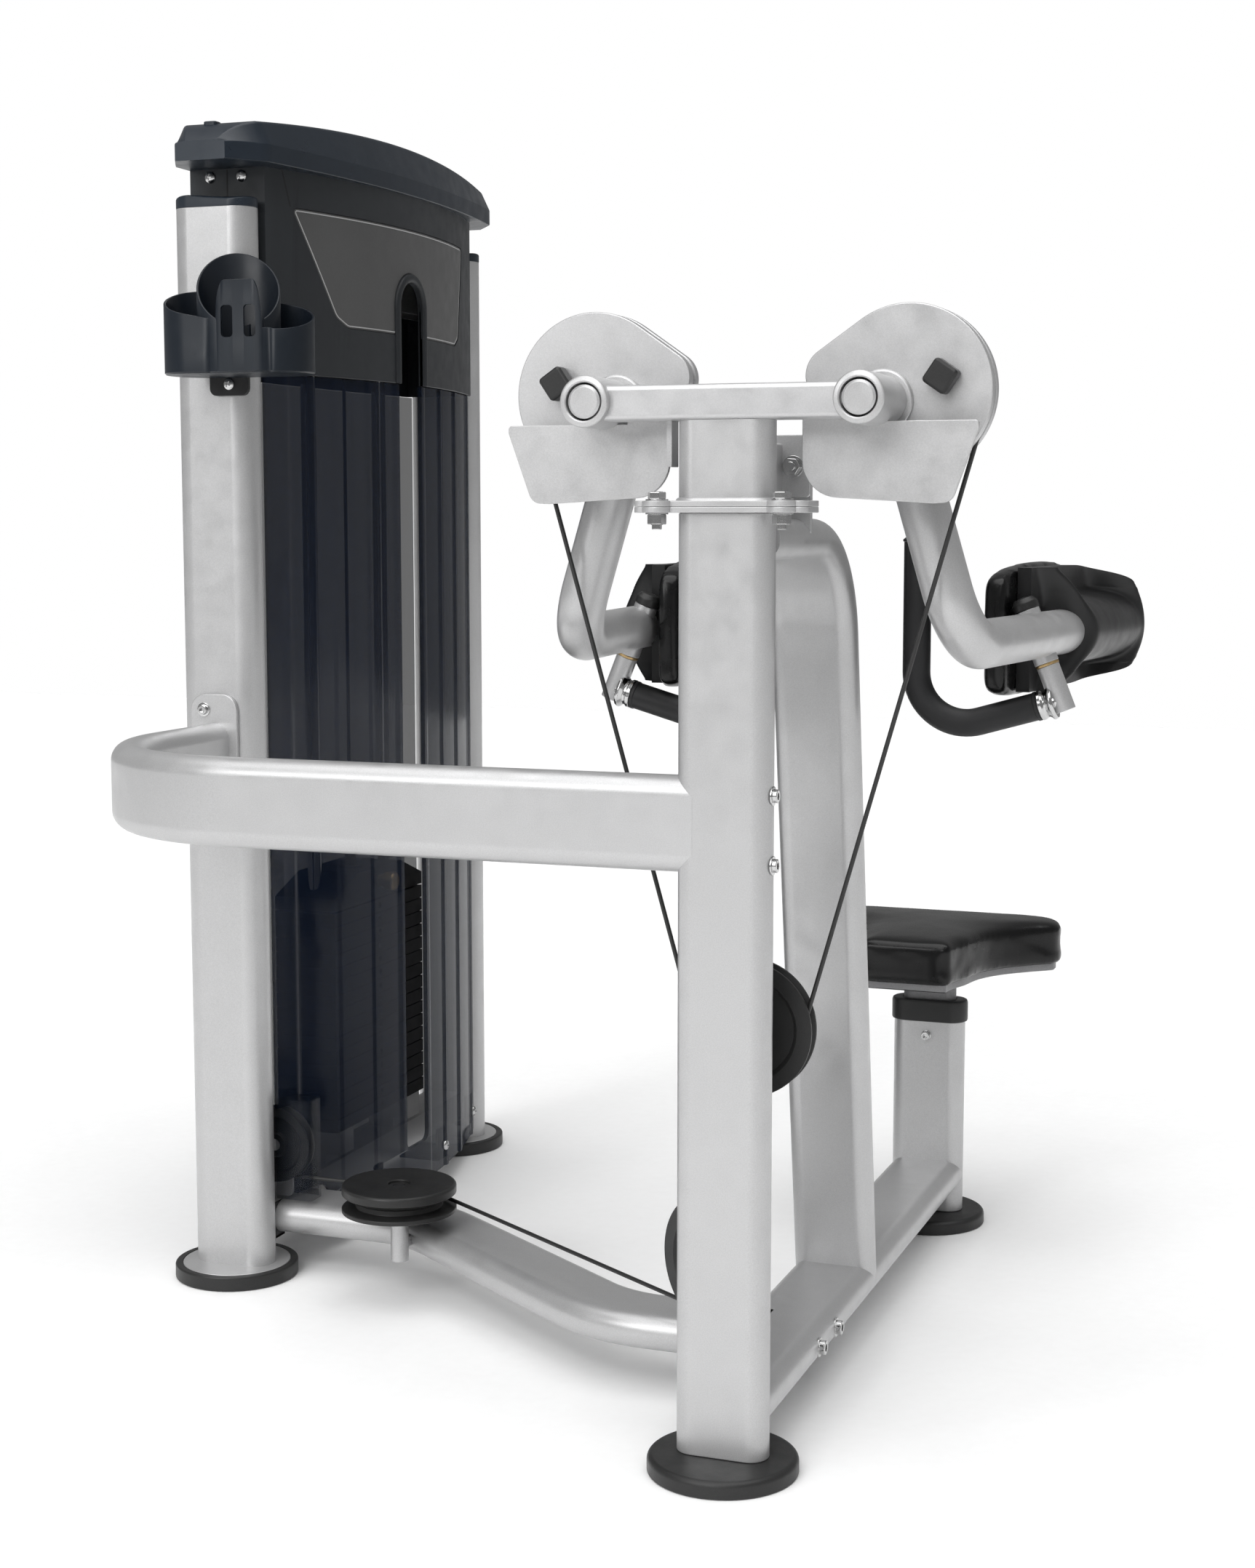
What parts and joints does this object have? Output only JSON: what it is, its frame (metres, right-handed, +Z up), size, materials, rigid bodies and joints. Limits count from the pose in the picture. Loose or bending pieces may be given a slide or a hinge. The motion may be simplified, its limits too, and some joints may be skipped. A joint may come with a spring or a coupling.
{
  "type": "lateral raise machine",
  "caption": "Gym machine for raising the arms sideways: seat, two pivoting padded arms with cams, cables and pulleys to a shrouded weight stack.",
  "frame": {"origin": "centre of the flat underside of the column's foot, on the floor", "axes": "+Z up, +Y from the column towards the seat, +X to the user's left-hand side seen from the column, with the weight tower at -X"},
  "size_m": [1.2007, 1.244, 1.498],
  "materials": {
    "paint": "fine-grained light grey powder coat",
    "rubber": "matt moulded rubber",
    "plastic": "moulded dark blue-grey plastic",
    "housing": "matt dark grey plastic",
    "smoked": "smoked translucent plastic",
    "vinyl": "black upholstery vinyl over foam",
    "steel": "bright steel",
    "iron": "black painted iron",
    "brass": "polished",
    "cable": "steel rope in black plastic jacket",
    "board": "grey board with steel tube"
  },
  "bodies": {
    "frame": {"column": "paint", "column_foot": "rubber", "head_post": "paint", "crossbar": "paint", "base_beam": "paint", "curved_post": "paint", "lower_tie": "paint", "side_beam": "paint", "seat_post": "paint", "seat_foot": "rubber", "seat_collar": "plastic", "post_near": "paint", "post_far": "paint", "foot_near": "rubber", "foot_far": "rubber", "plug_near": "plastic", "plug_far": "plastic", "tower_base": "paint", "tower_top_frame": "paint", "guide_rod_near": "steel", "guide_rod_far": "steel", "weight_plates": "iron", "shroud_front": "smoked", "shroud_back": "smoked", "upper_housing": "housing", "tower_cap": "plastic", "cup_holder": "plastic", "drive_cable": "cable", "block_cable": "cable", "stack_cable": "cable", "arm_cable_left": "cable", "arm_cable_right": "cable"},
    "left_arm": {"arm_left": "paint", "cam_left": "paint", "bumper_left": "rubber", "pad_left": "vinyl", "pad_shell_left": "plastic"},
    "right_arm": {"arm_right": "paint", "cam_right": "paint", "bumper_right": "rubber", "pad_right": "vinyl", "pad_shell_right": "plastic"},
    "left_grip": {"swivel_left": "steel", "grip_left": "rubber"},
    "right_grip": {"swivel_right": "steel", "grip_right": "rubber"},
    "block": {"pulley_block": "steel", "block_bight": "cable"},
    "block_wheel": {"mid_pulley": "rubber"},
    "stack": {"stack_head": "iron", "lanyard": "cable"},
    "selector": {"selector_pin": "brass"},
    "low_wheel": {"low_pulley": "rubber"},
    "turn_wheel": {"turn_pulley": "rubber"},
    "base_wheel": {"base_pulley": "rubber"},
    "near_wheel": {"top_pulley_near": "rubber"},
    "mid_wheel": {"top_pulley_mid": "rubber"},
    "seat": {"seat_cushion": "vinyl", "seat_carriage": "board"},
    "seat_lock": {"seat_pin": "plastic"}
  },
  "joints": [
    {"name": "left_arm_lift", "type": "hinge", "parent": "frame", "child": "left_arm", "pos_m": [-0.142, 0.079, 1.109], "axis": [0, 1, 0], "range_deg": [0, 85]},
    {"name": "right_arm_lift", "type": "hinge", "parent": "frame", "child": "right_arm", "pos_m": [0.142, 0.079, 1.109], "axis": [0, -1, 0], "range_deg": [0, 85]},
    {"name": "left_grip_swivel", "type": "hinge", "parent": "left_arm", "child": "left_grip", "pos_m": [-0.23958, 0.399, 0.861], "axis": [-0.37, 0, -0.929], "range_deg": [-25, 25]},
    {"name": "right_grip_swivel", "type": "hinge", "parent": "right_arm", "child": "right_grip", "pos_m": [0.23958, 0.399, 0.861], "axis": [0.37, 0, -0.929], "range_deg": [-25, 25]},
    {"name": "block_lift", "type": "slide", "parent": "frame", "child": "block", "axis": [0, 0, 1], "range_m": [0, 0.14], "deforming": ["block_cable", "arm_cable_left", "arm_cable_right"]},
    {"name": "block_wheel_turn", "type": "hinge", "parent": "block", "child": "block_wheel", "pos_m": [0, 0.079, 0.457], "axis": [0, 1, 0], "continuous": true},
    {"name": "stack_lift", "type": "slide", "parent": "frame", "child": "stack", "axis": [0, 0, 1], "range_m": [0, 0.14], "deforming": ["stack_cable"]},
    {"name": "selector_pull", "type": "slide", "parent": "stack", "child": "selector", "axis": [1, 0, 0], "range_m": [0, 0.045]},
    {"name": "low_wheel_turn", "type": "hinge", "parent": "frame", "child": "low_wheel", "pos_m": [-0.04831, 0.11109, 0.185], "axis": [-0.5533, -0.833, 0], "range_deg": [0, 140]},
    {"name": "turn_wheel_turn", "type": "hinge", "parent": "frame", "child": "turn_wheel", "pos_m": [-0.555, 0.378, 0.127], "axis": [0, 0, -1], "range_deg": [0, 140]},
    {"name": "base_wheel_turn", "type": "hinge", "parent": "frame", "child": "base_wheel", "pos_m": [-0.76, 0.436, 0.169], "axis": [0, -1, 0], "range_deg": [0, 190]},
    {"name": "near_wheel_turn", "type": "hinge", "parent": "frame", "child": "near_wheel", "pos_m": [-0.802, 0.478, 1.33], "axis": [1, 0, 0], "range_deg": [0, 190]},
    {"name": "mid_wheel_turn", "type": "hinge", "parent": "frame", "child": "mid_wheel", "pos_m": [-0.802, 0.6985, 1.33], "axis": [1, 0, 0], "range_deg": [0, 190]},
    {"name": "seat_height", "type": "slide", "parent": "frame", "child": "seat", "axis": [0, 0, 1], "range_m": [0, 0.15]},
    {"name": "seat_lock_pull", "type": "slide", "parent": "frame", "child": "seat_lock", "axis": [0, 1, 0], "range_m": [0, 0.012], "stiffness_N_per_m": 300}
  ],
  "couplings": [
    {"joint": "right_arm_lift", "follows": "left_arm_lift", "ratio": 1},
    {"joint": "block_lift", "follows": "left_arm_lift", "m_per_rad": 0.09302},
    {"joint": "stack_lift", "follows": "left_arm_lift", "m_per_rad": 0.09302},
    {"joint": "low_wheel_turn", "follows": "left_arm_lift", "ratio": 1.6038},
    {"joint": "turn_wheel_turn", "follows": "left_arm_lift", "ratio": 1.6038},
    {"joint": "base_wheel_turn", "follows": "left_arm_lift", "ratio": 2.2148},
    {"joint": "near_wheel_turn", "follows": "left_arm_lift", "ratio": 2.2148},
    {"joint": "mid_wheel_turn", "follows": "left_arm_lift", "ratio": 2.2148}
  ]
}
